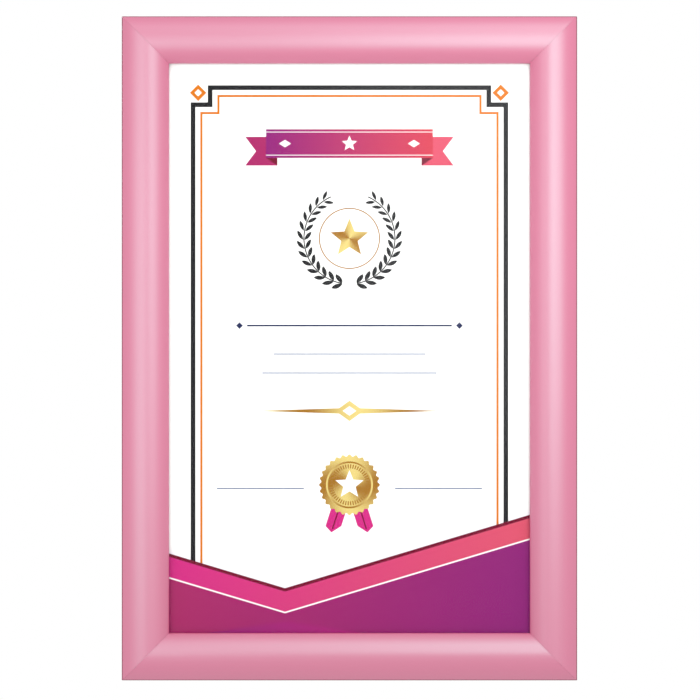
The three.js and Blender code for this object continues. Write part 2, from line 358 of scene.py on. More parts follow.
# Bare metal where a saw or a drill went through, with the marks that it left
SAWN_ALUMINIUM = Finish(
    "sawn_aluminium",
    (0.40, 0.41, 0.43, 1.0),
    (0.64, 0.64, 0.65, 1.0),
    roughness=0.18,
    depth=0.012,
    grains=(
        Grain(0.8, 3.0, (0.35, 6.0, 0.35), tone=1.0, matt=0.18, relief=1.0),
        Grain(2.5, matt=0.1),
    ),
)
# Rolled and tempered strip, with its grain along the strip
SPRING_STEEL = Finish(
    "spring_steel",
    (0.46, 0.46, 0.47, 1.0),
    (0.33, 0.28, 0.21, 1.0),
    roughness=0.2,
    depth=0.004,
    grains=(Grain(0.18, 2.0, (1.0, 4.0, 1.0), matt=0.16, relief=1.0), Grain(5.0, 1.0, tone=0.8)),
)
# Bright zinc with a faint blue and straw bloom
ZINC_PLATE = Finish(
    "zinc_plate",
    (0.40, 0.44, 0.50, 1.0),
    (0.50, 0.46, 0.36, 1.0),
    roughness=0.24,
    depth=0.01,
    grains=(Grain(6.0, 3.0, tone=2.0), Grain(0.35, 3.0, matt=0.2, relief=1.0)),
    tone=-0.5,
)
BLACK_OXIDE = Finish(
    "black_oxide",
    (0.018, 0.019, 0.022, 1.0),
    (0.06, 0.055, 0.05, 1.0),
    roughness=0.26,
    depth=0.006,
    grains=(Grain(0.4, 3.0, tone=1.0, matt=0.2, relief=1.0),),
    metallic=0.7,
)
# Matt off-white sheet, rolled with a fine grain
SHEET_PLASTIC = Finish(
    "matt_sheet_plastic",
    (0.37, 0.365, 0.35, 1.0),
    (0.50, 0.495, 0.475, 1.0),
    roughness=0.42,
    depth=0.03,
    grains=(
        Grain(38.0, 3.0, tone=0.4),
        Grain(0.55, matt=0.16, relief=0.7),
        Grain(2.2, 4.0, (1.0, 1.0, 0.01), tone=0.6, relief=0.3),
    ),
    metallic=0.0,
)
PALE_FLOOR = Finish(
    "pale_floor",
    (0.9, 0.9, 0.895, 1.0),
    (0.93, 0.93, 0.925, 1.0),
    roughness=0.8,
    depth=0.0,
    grains=(Grain(4.0, tone=1.0),),
    metallic=0.0,
)


@dataclass(frozen=True)
class ClearSheet:
    """Clear low-glare cover sheet, which shines only at a flat angle."""

    name: str = "clear_sheet"
    tint: Linear = (0.93, 0.96, 0.97, 1.0)
    roughness: float = 0.17
    unevenness: float = 0.06
    ripple: float = 45.0  # mm across a ripple
    ripple_depth: float = 0.05
    faintest: float = 0.005
    strongest: float = 0.5
    flat_angle: float = 0.35

    def material(self) -> Material:
        """Builds the clear plastic.

        Returns:
            The material.
        """
        graph = Graph(self.name)
        wave = graph.noise(graph.place(), self.ripple, 1.0)
        facing = graph.node("ShaderNodeLayerWeight", {}, {"Blend": self.flat_angle}, "Facing")
        glint = facing * facing * facing * facing
        return graph.surface(
            Base_Color=self.tint,
            Metallic=1.0,
            Roughness=wave * self.unevenness + self.roughness,
            Alpha=glint * self.strongest + self.faintest,
            Normal=graph.bump(wave, self.ripple_depth),
        )


@dataclass(frozen=True)
class Inks:
    """The colours of the printed card, before the light's strength."""

    paper: Linear = dimmed(srgb(252, 252, 250), 1.4)  # a coated white, brighter than the inks
    orange: Linear = srgb(236, 130, 22)
    charcoal: Linear = srgb(36, 36, 39)
    gold_dark: Linear = srgb(176, 122, 38)
    gold_light: Linear = srgb(250, 226, 138)
    magenta: Linear = srgb(226, 46, 142)
    coral: Linear = srgb(236, 92, 118)
    red: Linear = srgb(226, 66, 88)
    plum: Linear = srgb(182, 44, 110)
    purple: Linear = srgb(152, 34, 128)
    wine: Linear = srgb(128, 18, 52)
    lilac: Linear = srgb(214, 202, 226)
    navy: Linear = srgb(38, 46, 92)
    slate: Linear = srgb(104, 122, 162)


class Canvas:
    """Paints flat shapes over each other on a card. Places and sizes are in millimetres."""

    def __init__(self, graph: Graph, centre: Vector, exposure: float) -> None:
        """Starts with bare paper.

        Args:
            graph: the material to paint in.
            centre: the middle of the card, in metres.
            exposure: the share of each ink's brightness that the card keeps.
        """
        self.graph = graph
        self.exposure = exposure
        self.x, _, self.z = graph.split(graph.place(centre))
        self.colour: Field | Linear = dimmed(Inks.paper, exposure)

    def at(self, x: float, z: float) -> tuple[Field, Field]:
        """Coordinates measured from the point (x, z)."""
        return self.x - x, self.z - z

    def box(self, x: float, z: float, half_x: float, half_z: float) -> Field:
        """Distance to an upright rectangle around (x, z), negative inside."""
        across, up = self.at(x, z)
        return (abs(across) - half_x).larger(abs(up) - half_z)

    def diamond(self, x: float, z: float, half_x: float, half_z: float) -> Field:
        """Distance to a diamond around (x, z), negative inside."""
        across, up = self.at(x, z)
        return (abs(across) / half_x + abs(up) / half_z - 1.0) / math.hypot(1 / half_x, 1 / half_z)

    def radius(self, z: float) -> Field:
        """Distance to the point (0, z)."""
        across, up = self.at(0, z)
        return self.graph.math("SQRT", across * across + up * up)

    def angle(self, z: float) -> Field:
        """Angle round the point (0, z), from straight up, in radians."""
        return self.graph.math("ARCTAN2", *self.at(0, z))

    def star(self, z: float, tip: float, valley: float) -> Field:
        """Distance to a five-pointed star around (0, z).

        Args:
            z: its height.
            tip: the radius at its points.
            valley: the radius between them.

        Returns:
            The distance, negative inside.
        """
        sector = 2 * math.pi / 5
        folded = abs((self.angle(z) + sector / 2) % sector - sector / 2)
        distance = self.radius(z)
        along = distance * self.graph.math("COSINE", folded)
        aside = distance * self.graph.math("SINE", folded)
        edge = Vector((valley * math.cos(sector / 2) - tip, valley * math.sin(sector / 2)))
        normal = Vector((edge.y, -edge.x)).normalized()
        return (along - tip) * normal.x + aside * normal.y

    def blend(self, start: Linear, end: Linear, share: Field) -> Field:
        """A colour that runs from start to end as share goes from 0 to 1."""
        return self.graph.mix(share, dimmed(start, self.exposure), dimmed(end, self.exposure))

    def gold(self, phase: Field) -> Field:
        """Gold that goes from dark to light and back as the phase turns, in radians."""
        return self.blend(Inks.gold_dark, Inks.gold_light, phase.wave())

    def fill(self, distance: Field, ink: Field | Linear, soft: float = 0.14, strength: float = 1.0) -> None:
        """Paints inside a shape.

        Args:
            distance: the shape, as a distance that is negative inside.
            ink: its colour.
            soft: how wide its edge is.
            strength: how much of the ink covers.
        """
        share = (0.5 - distance / soft).clipped() * strength
        shade = ink if isinstance(ink, Field) else dimmed(ink, self.exposure)
        self.colour = self.graph.mix(share, self.colour, shade)

    def shade(self, distance: Field, tint: Linear, soft: float) -> None:
        """Darkens what is inside a soft shadow, where white becomes the tint."""
        share = (0.5 - distance / soft).clipped()
        self.colour = self.graph.mix(share * share, self.colour, tint, "MULTIPLY")


@dataclass(frozen=True)
class PrintedCard:
    """A blank award certificate: a ruled border, a banner, a wreath, rules and a seal."""

    name: str = "printed_card"
    centre: Vector = Vector()  # in metres
    exposure: float = 0.65  # the share of each ink's brightness that the card keeps
    half_width: float = 95.0
    half_height: float = 150.0
    margin: float = 12.5
    banner_at: float = 108.0
    wreath_at: float = 58.0
    wreath_radius: float = 24.0
    divider_at: float = -33.0
    seal_at: float = -72.0
    seal_radius: float = 15.5
    roughness: float = 0.49
    unevenness: float = 0.12
    fibre: float = 0.45  # mm across a fibre
    fibre_depth: float = 0.012
    sheen: float = 0.03

    def material(self) -> Material:
        """Builds the card's paper and print.

        Returns:
            The material.
        """
        graph = Graph(self.name)
        canvas = Canvas(graph, self.centre, self.exposure)
        self.border(canvas)
        self.banner(canvas, self.banner_at)
        self.wreath(canvas, self.wreath_at, self.wreath_radius)
        self.rules(canvas)
        self.divider(canvas, self.divider_at)
        self.seal(canvas, self.seal_at, self.seal_radius)
        self.chevrons(canvas)
        fibre = graph.noise(graph.place(), self.fibre, 3.0)
        return graph.surface(
            Base_Color=canvas.colour,
            Roughness=fibre * self.unevenness + self.roughness,
            Specular_IOR_Level=self.sheen,
            Normal=graph.bump(fibre, self.fibre_depth),
        )

    def border(self, canvas: Canvas) -> None:
        """A thick and a thin rule with stepped corners, and a diamond in each corner.

        Args:
            canvas: where to paint.
        """
        half_x, half_z = self.half_width - self.margin, self.half_height - self.margin
        step, thick, gap, thin, inset = 9.0, 1.25, 4.4, 0.6, 2.7
        along, up = abs(canvas.x), abs(canvas.z)
        notch = (along - (half_x - step)).smaller(up - (half_z - step))
        edge = (along - half_x).larger(up - half_z).larger(notch)
        canvas.fill(abs(edge) - thick, Inks.charcoal)
        canvas.fill(abs(edge + gap) - thin, Inks.orange)
        for side in (-1, 1):
            for end in (-1, 1):
                x, z = side * (half_x - inset), end * (half_z - inset)
                for half, ink in ((4.4, Inks.orange), (1.9, Inks.paper)):
                    canvas.fill(canvas.diamond(x, z, half, half), ink)

    def banner(self, canvas: Canvas, z: float) -> None:
        """A ribbon with folded, notched tails.

        Args:
            canvas: where to paint.
            z: the height of its middle.
        """
        half, deep, tail, drop, fold, notch_slope = 44.0, 7.6, 11.0, 4.0, 6.0, 0.75
        line_inset, line_thick, gem_at = 1.5, 0.22, 34.0
        run = (canvas.x / (2 * half) + 0.5).clipped()
        along = abs(canvas.x)
        up = abs(canvas.z - (z - drop))
        notch = along - (half + tail) + (deep - up) * notch_slope
        tails = notch.larger(up - deep).larger((half - fold) - along)
        canvas.fill(tails, canvas.blend(Inks.plum, Inks.coral, run))
        inset = half - along
        under = (z - deep) - canvas.z
        behind = (under - inset * (drop / fold)).larger(inset - fold).larger(-under)
        canvas.fill(behind, Inks.wine)
        canvas.fill(canvas.box(0, z, half, deep), canvas.blend(Inks.purple, Inks.red, run))
        for side in (-1, 1):
            line = canvas.box(0, z + side * (deep - line_inset), half, line_thick)
            canvas.fill(line, Inks.paper, strength=0.7)
            gem = canvas.diamond(side * gem_at, z, half_x=3.2, half_z=2.0)
            canvas.fill(gem, Inks.paper, strength=0.85)
        canvas.fill(canvas.star(z, tip=4.2, valley=1.9), Inks.paper)

    def wreath(self, canvas: Canvas, z: float, radius: float) -> None:
        """Two branches of leaves that meet at the bottom, round a star.

        Args:
            canvas: where to paint.
            z: the height of its middle.
            radius: of its stem.
        """
        count, lowest, highest = 13, 0.16, 2.72  # leaves, and a branch's ends in radians
        leaf_round, leaf_size, taper, lean, away_from_stem = 0.115, 1.219, 0.138, 0.62, 2.1
        stem_thick, ring_share, ring_thick, glints, glint_turn = 0.32, 0.66, 0.3, 2.0, 0.6
        round_it = canvas.graph.math("ARCTAN2", abs(canvas.x), z - canvas.z)
        away = canvas.radius(z)
        outside = (lowest - round_it).larger(round_it - highest) * radius
        cell = (highest - lowest) / count
        local = ((round_it - lowest) % cell - cell / 2) * away
        size = leaf_size - round_it * taper
        for side in (1, -1):
            cosine, sine = math.cos(lean), side * math.sin(lean)
            rise = away - (radius + side * away_from_stem)
            ahead = local * cosine + rise * sine
            aside = rise * cosine - local * sine
            blade = abs(aside) + ahead * ahead * leaf_round - size
            canvas.fill(blade.larger(outside), Inks.charcoal)
        canvas.fill((abs(away - radius) - stem_thick).larger(outside), Inks.charcoal)
        canvas.fill(abs(away - radius * ring_share) - ring_thick, Inks.gold_dark)
        gold = canvas.gold(canvas.angle(z) * glints + glint_turn)
        canvas.fill(canvas.star(z, tip=10.5, valley=4.6), gold)

    def rules(self, canvas: Canvas) -> None:
        """Rules to write on.

        Args:
            canvas: where to paint.
        """
        for x, z, half, thick, ink in (
            (0.0, 12.0, 54.0, 0.45, Inks.navy),
            (0.0, -3.0, 40.0, 0.28, Inks.slate),
            (0.0, -13.0, 46.0, 0.28, Inks.slate),
            (-47.0, -74.0, 23.0, 0.3, Inks.slate),
            (47.0, -74.0, 23.0, 0.3, Inks.slate),
        ):
            canvas.fill(canvas.box(x, z, half, thick), ink)
        for x in (-58.0, 58.0):
            canvas.fill(canvas.diamond(x, 12.0, 1.8, 1.8), Inks.navy)

    def divider(self, canvas: Canvas, z: float) -> None:
        """A tapered gold line with a diamond in its middle.

        Args:
            canvas: where to paint.
            z: its height.
        """
        half, thick, tip, glints, glint_turn = 46.0, 1.5, 0.12, 0.11, 1.1
        along = abs(canvas.x)
        gold = canvas.gold(canvas.x * glints + glint_turn)
        taper = abs(canvas.z - z) - (1.0 - (along / half).clipped()) * thick - tip
        canvas.fill(taper.larger(along - half), gold)
        for half_x, half_z, ink in ((7.5, 5.4, gold), (3.6, 2.5, Inks.paper)):
            canvas.fill(canvas.diamond(0, z, half_x, half_z), ink)

    def seal(self, canvas: Canvas, z: float, radius: float) -> None:
        """A scalloped gold seal on two ribbon tails.

        Args:
            canvas: where to paint.
            z: the height of its middle.
            radius: of its scalloped edge.
        """
        splay, tail_at, half_tail, tail_end, notch_slope = 0.32, 1.5, 4.2, 1.62, 0.8
        half_crease, crease_end = 0.35, 1.5
        scallops, scallop_depth, glints, swirl = 28.0, 0.55, 2.0, 0.12
        groove, middle, rays, ray_edge, ray_at, ray_length = 0.8, 0.74, 48.0, 0.5, 0.63, 0.07
        down = z - canvas.z
        aside = abs(abs(canvas.x) - (down * splay + tail_at))
        tails = (aside - half_tail).larger(down - radius * tail_end + aside * notch_slope)
        crease = (aside - half_crease).larger(down - radius * crease_end)
        canvas.fill(tails.larger(-down), Inks.magenta)
        canvas.fill(crease.larger(-down), Inks.wine)
        round_it = canvas.angle(z)
        away = canvas.radius(z)
        scallop = canvas.graph.math("COSINE", round_it * scallops) * scallop_depth
        phase = round_it * glints + away * swirl
        gold = canvas.gold(phase)
        canvas.fill(away - radius - scallop, gold)
        canvas.fill(away - radius * groove, canvas.gold(phase + math.pi))
        canvas.fill(away - radius * middle, gold)
        ray = canvas.graph.math("COSINE", round_it * rays) * ray_edge
        ring = abs(away - radius * ray_at) - radius * ray_length
        canvas.fill(ring.larger(ray), Inks.gold_dark)
        canvas.fill(canvas.star(z, tip=radius * 0.5, valley=radius * 0.22), Inks.paper)

    def chevrons(self, canvas: Canvas) -> None:
        """Broad angled bands along the lower edge, over a soft shade.

        Args:
            canvas: where to paint.
        """
        valley, slope, crossing, low_slope = -34.0, 0.3, 6.0, -0.5
        run = (canvas.x / (2 * self.half_width) + 0.5).clipped()
        rise = abs(canvas.x - valley) * slope
        up = (canvas.z - (rise - self.half_height)) * math.cos(math.atan(slope))
        canvas.shade(up - 24.0, Inks.lilac, soft=7.0)
        for height, ink, strength in (
            (22.5, Inks.wine, 1.0),
            (20.8, canvas.blend(Inks.magenta, Inks.coral, run), 1.0),
            (10.6, Inks.paper, 0.85),
            (9.8, canvas.blend(Inks.plum, Inks.purple, run), 1.0),
        ):
            canvas.fill(up - height, ink, strength=strength)
        low = canvas.z + self.half_height - (rise * low_slope + crossing)
        canvas.fill(low, canvas.blend(Inks.purple, Inks.magenta, run), strength=0.75)


# Mesh building


def across(u: float, v: float, x: float = 0.0) -> Vector:
    """A point of a section, in metres: u inwards, v forwards, x along the rail."""
    return Vector((x, -v, u)) * MM


def soften(
    mesh: BMesh,
    parts: Sequence,
    size: float,
    steps: int,
    kind: str = "EDGES",
    clamp: bool = False,
) -> None:
    """Rounds edges or corners.

    Args:
        mesh: what holds them.
        parts: the edges, or a flat face's corners.
        size: how much is rounded away, in millimetres.
        steps: how many flats each round has.
        kind: EDGES or VERTICES.
        clamp: whether a round stops where it would run into the next.
    """
    bmesh.ops.bevel(
        mesh,
        geom=parts,
        offset=size * MM,
        segments=steps,
        profile=0.5,
        affect=kind,
        clamp_overlap=clamp,
        material=-1,
    )


def thickened(mesh: BMesh, shift: Vector) -> BMesh:
    """Draws a mesh of one face out into a solid.

    Args:
        mesh: the face.
        shift: from the face to the solid's far end, in metres.

    Returns:
        The same mesh, facing outwards.
    """
    grown = bmesh.ops.extrude_face_region(mesh, geom=mesh.faces[:])
    far = [v for v in grown["geom"] if isinstance(v, BMVert)]
    bmesh.ops.translate(mesh, verts=far, vec=shift)
    bmesh.ops.recalc_face_normals(mesh, faces=mesh.faces)
    return mesh


def flat_rims(mesh: BMesh) -> list[BMEdge]:
    """The edges that lie in one plane in front of the wall."""
    return [e for e in mesh.edges if e.verts[0].co.y == e.verts[1].co.y]


class Pen:
    """Draws the outline of a section from straight lines and arcs, then fills it."""

    def __init__(self, u: float, v: float) -> None:
        """Sets the pen down.

        Args:
            u: where it starts.
            v: where it starts.
        """
        self.mesh = bmesh.new()
        self.first = self.mesh.verts.new(across(u, v))
        self.tip = self.first
        self.soft: list[tuple[BMVert, float]] = []

    def to(self, u: float, v: float, fillet: float = 0.0) -> None:
        """Draws a straight line.

        Args:
            u: its end.
            v: its end.
            fillet: how much of both lines that meet there is rounded away.
        """
        corner = self.mesh.verts.new(across(u, v))
        self.mesh.edges.new((self.tip, corner))
        self.tip = corner
        if fillet:
            self.soft.append((corner, fillet))

    def round(self, centre: Vector, degrees: float, step: float = SMALL_TURN) -> None:
        """Draws an arc.

        Args:
            centre: of the arc, as (u, v).
            degrees: how far it turns, positive from u towards v.
            step: degrees for each straight piece of it.
        """
        grown = bmesh.ops.spin(
            self.mesh,
            geom=[self.tip],
            cent=across(centre.x, centre.y),
            axis=(1, 0, 0),
            angle=math.radians(degrees),
            steps=max(2, math.ceil(abs(degrees) / step)),
        )
        self.tip = next(v for v in grown["geom_last"] if isinstance(v, BMVert))

    def radially(self, centre: Vector, radius: float) -> None:
        """Draws a straight line towards or away from a centre.

        Args:
            centre: as (u, v).
            radius: where the line ends.
        """
        here = Vector((self.tip.co.z, -self.tip.co.y)) / MM - centre
        end = centre + here.normalized() * radius
        self.to(end.x, end.y)

    def face(self) -> BMesh:
        """Closes the outline, fills it and rounds its soft corners.

        Returns:
            A mesh of one face.
        """
        if (self.tip.co - self.first.co).length > WELD * MM:
            self.mesh.edges.new((self.tip, self.first))
        bmesh.ops.remove_doubles(self.mesh, verts=self.mesh.verts, dist=WELD * MM)
        bmesh.ops.contextual_create(self.mesh, geom=self.mesh.edges[:])
        for corner, fillet in self.soft:
            if corner.is_valid:
                soften(self.mesh, [corner], fillet, FILLET_STEPS, "VERTICES")
        return self.mesh


def moved(mesh: BMesh, matrix: Matrix) -> BMesh:
    """Moves a mesh, and hands it back."""
    bmesh.ops.transform(mesh, matrix=matrix, verts=mesh.verts)
    return mesh


def sawn(section: BMesh, length: float, play: float, worn: float) -> BMesh:
    """Draws a section out along X, centred, and saws its ends at 45 degrees.

    Args:
        section: a mesh of one face.
        length: at the rail's outer edge, in millimetres.
        play: how far each cut stands back along the rail.
        worn: how much of the cuts' edges is rounded away.

    Returns:
        The same mesh. The cuts take the second material.
    """
    start = moved(section, Matrix.Translation((-length / 2 * MM, 0, 0)))
    mesh = thickened(start, Vector((length * MM, 0, 0)))
    rims = []
    for end in (-1, 1):
        cut = bmesh.ops.bisect_plane(
            mesh,
            geom=mesh.verts[:] + mesh.edges[:] + mesh.faces[:],
            dist=ON_CUT,
            plane_co=(end * (length / 2 - play) * MM, 0, 0),
            plane_no=Vector((end, 0, 1)).normalized(),
            clear_outer=True,
        )
        rim = [e for e in cut["geom_cut"] if isinstance(e, BMEdge)]
        for face in bmesh.ops.contextual_create(mesh, geom=rim)["faces"]:
            face.material_index = 1
        rims += rim
    bmesh.ops.recalc_face_normals(mesh, faces=mesh.faces)
    soften(mesh, rims, worn, WORN_STEPS, clamp=True)
    return mesh


def block(low: Vector, high: Vector) -> BMesh:
    """Makes a box.

    Args:
        low: its lowest corner, in metres.
        high: its highest corner, in metres.

    Returns:
        The box.
    """
    mesh = bmesh.new()
    spread = Matrix.Diagonal((*(high - low), 1.0))
    bmesh.ops.create_cube(mesh, size=1.0, matrix=Matrix.Translation((low + high) / 2) @ spread)
    return mesh


def turned(outline: Sequence[tuple[float, float]], steps: int) -> BMesh:
    """Turns a round piece about Y, as on a lathe.

    Args:
        outline: radius and forward distance of each corner, in millimetres, from axis to axis.
        steps: how many flats its round has.

    Returns:
        The closed piece, around the origin.
    """
    mesh = bmesh.new()
    verts = [mesh.verts.new((r * MM, -v * MM, 0)) for r, v in outline]
    for start, end in zip(verts, verts[1:]):
        mesh.edges.new((start, end))
    bmesh.ops.spin(
        mesh,
        geom=mesh.verts[:] + mesh.edges[:],
        cent=(0, 0, 0),
        axis=(0, 1, 0),
        angle=2 * math.pi,
        steps=steps,
        use_merge=True,
    )
    bmesh.ops.remove_doubles(mesh, verts=mesh.verts, dist=FINE_WELD * MM)
    bmesh.ops.recalc_face_normals(mesh, faces=mesh.faces)
    return mesh


def placed(name: str, data: ID) -> Object:
    """Puts data in a new object.

    Args:
        name: of the object.
        data: a mesh, curve, light or camera.

    Returns:
        The object, in the scene.
    """
    thing = bpy.data.objects.new(name, data)
    bpy.context.scene.collection.objects.link(thing)
    return thing


def held(name: str, mesh: BMesh, finishes: Sequence[Material]) -> Object:
    """Puts a bmesh in a new object.

    Args:
        name: of the object and its mesh.
        mesh: is freed.
        finishes: its materials in order.

    Returns:
        The object, in the scene.
    """
    data = bpy.data.meshes.new(name)
    mesh.to_mesh(data)
    mesh.free()
    for finish in finishes:
        data.materials.append(finish)
    return placed(name, data)


def settled(thing: Object) -> Mesh:
    """Makes a mesh of a curve, or of a thing with its modifiers.

    Args:
        thing: an object in the scene.

    Returns:
        The mesh.
    """
    bpy.context.view_layer.update()
    seen = thing.evaluated_get(bpy.context.evaluated_depsgraph_get())
    return bpy.data.meshes.new_from_object(seen)


def carve(thing: Object, tools: Sequence[BMesh]) -> None:
    """Cuts each tool's shape out of a thing. The cuts take its last material.

    Args:
        thing: what is cut.
        tools: closed meshes, in the thing's place.
    """
    finishes = thing.data.materials[:]
    for tool in tools:
        for part in tool.faces:
            part.material_index = len(finishes) - 1
        cutter = held("cutter", tool, finishes)
        boolean = thing.modifiers.new("cut", "BOOLEAN")
        boolean.operation = "DIFFERENCE"
        boolean.solver = "MANIFOLD"
        boolean.object = cutter
        cut = settled(thing)
        thing.modifiers.clear()
        thing.data = cut
        bpy.data.objects.remove(cutter)


class Body(Enum):
    """What a piece moves with."""

    BASE = "base_frame"
    FRONT = "front"
    SPRINGS = "springs"


def dress(thing: Object, body: str, node: str) -> None:
    """Gives a piece its shading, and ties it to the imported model.

    Args:
        thing: the piece.
        body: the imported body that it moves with.
        node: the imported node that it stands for.
    """
    thing.data.shade_smooth()
    thing.data.set_sharp_from_angle(angle=SHARP_ANGLE)
    normals = thing.modifiers.new("even_shading", "WEIGHTED_NORMAL")
    normals.keep_sharp = True
    normals.weight = 100
    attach(thing, body)
    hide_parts(node)
    cuts = sum(1 for face in thing.data.polygons if face.material_index)
    LOG.info("%s: %d faces, %d cut, moves with %s", thing.name, len(thing.data.polygons), cuts, body)


# The frame's sections, in millimetres


@dataclass(frozen=True)
class Hinge:
    """The bead and socket along each rail's outer edge."""

    bead: float = 1.05
    socket_inner: float = 1.25
    socket_outer: float = 2.05
    neck: float = 1.0
    spare: float = 12.0
    arm_inner: float = 2.9
    arm_outer: float = 3.9
    nose_away: float = 4.25
    nose: float = 0.45
    nose_play: float = 0.25
    nose_lean: float = 45.0  # degrees from the line between the axis and the springs' feet
    tail: float = 9.0

    @property
    def mouth(self) -> float:
        """Half of the neck's angle in the socket's mouth, with its spare room, in degrees."""
        return math.degrees(math.asin(self.neck / 2 / self.socket_inner)) + self.spare

    def nose_at(self, axis: Vector, foot: Vector) -> Vector:
        """Where the springs' nose is, for an axis and a foot as (u, v)."""
        turn = math.atan2(*(foot - axis).yx) - math.radians(self.nose_lean)
        return axis + Vector((math.cos(turn), math.sin(turn))) * self.nose_away


@dataclass(frozen=True)
class SpringSeat:
    """The groove on the inner rib that takes the springs' feet."""

    inner: float = 0.75
    outer: float = 1.45
    mouth_start: float = 68.0
    mouth_end: float = 200.0


@dataclass(frozen=True)
class Extent:
    """The frame's outer box, in metres."""

    low: Vector
    high: Vector

    @property
    def middle(self) -> Vector:
        """Its centre."""
        return (self.low + self.high) / 2


@dataclass
class Side:
    """One side of the frame: where it lies, and its joints' axes in its own section."""

    name: str
    hinge: Vector
    foot: Vector
    length: float
    matrix: Matrix

    @classmethod
    def read(cls, name: str, turn: float, extent: Extent) -> "Side":
        """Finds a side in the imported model.

        Args:
            name: as its nodes and joints have it.
            turn: about Y, from the bottom side's place.
            extent: the frame's outer box.

        Returns:
            The side.
        """
        low, high, middle = extent.low, extent.high, extent.middle
        inwards = Matrix.Rotation(turn, 3, "Y") @ Vector((0, 0, 1))
        half = Vector(((high.x - low.x) / 2, 0, (high.z - low.z) / 2))
        edge = Vector((middle.x - inwards.x * half.x, 0, middle.z - inwards.z * half.z))
        across_half = half.x if abs(inwards.z) > abs(inwards.x) else half.z
        matrix = Matrix.Translation(edge) @ Matrix.Rotation(turn, 4, "Y")
        axes = {}
        for joint in frame["joints"]:
            point = matrix.inverted() @ Vector(joint["pos_m"])
            axes[joint["name"]] = Vector((point.z, -point.y)) / MM
        hinge, foot = axes[f"front_{name}_hinge"], axes[f"springs_{name}_turn"]
        return cls(name, hinge, foot, 2 * across_half / MM, matrix)

    def body(self, kind: Body) -> str:
        """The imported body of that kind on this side."""
        return kind.value if kind is Body.BASE else f"{kind.value}_{self.name}"

    def springs(self) -> list[tuple[int, float]]:
        """Finds the side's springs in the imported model.

        Returns:
            The number of each spring, and its middle along the rail in millimetres.
        """
        found = []
        for node in frame["record"]["behaviour"]["bodies"][self.body(Body.SPRINGS)]:
            low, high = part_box(node)
            middle = self.matrix.inverted() @ ((low + high) / 2)
            found.append((int(node.rsplit("_", 1)[1]), middle.x / MM))
        return found


@dataclass
class Rail(ABC):
    """What both kinds of rail share."""

    side: Side
    hinge: Hinge
    finishes: Sequence[Material]  # the coat and the sawn metal
    play: float = 0.0  # how far each saw cut stands back along the rail
    worn: float = 0.0  # how much of the cuts' edges is rounded away
    beyond: float = 1.0  # how far a cutter stands out

    @abstractmethod
    def section(self) -> BMesh:
        """Draws the section as a mesh of one face."""

    def finish(self, name: str, slot: str, body: Body, tools: Sequence[BMesh]) -> None:
        """Saws, cuts, places and dresses the rail.

        Args:
            name: of the piece, before its side.
            slot: the record's material slot, which starts its node's name.
            body: what it moves with.
            tools: what is cut out of it, in the rail's place before it is moved.
        """
        side = self.side
        solid = sawn(self.section(), side.length, self.play, self.worn)
        thing = held(f"{name}_{side.name}", solid, self.finishes)
        carve(thing, tools)
        thing.data.transform(side.matrix)
        dress(thing, side.body(body), f"{slot}_{side.name}")


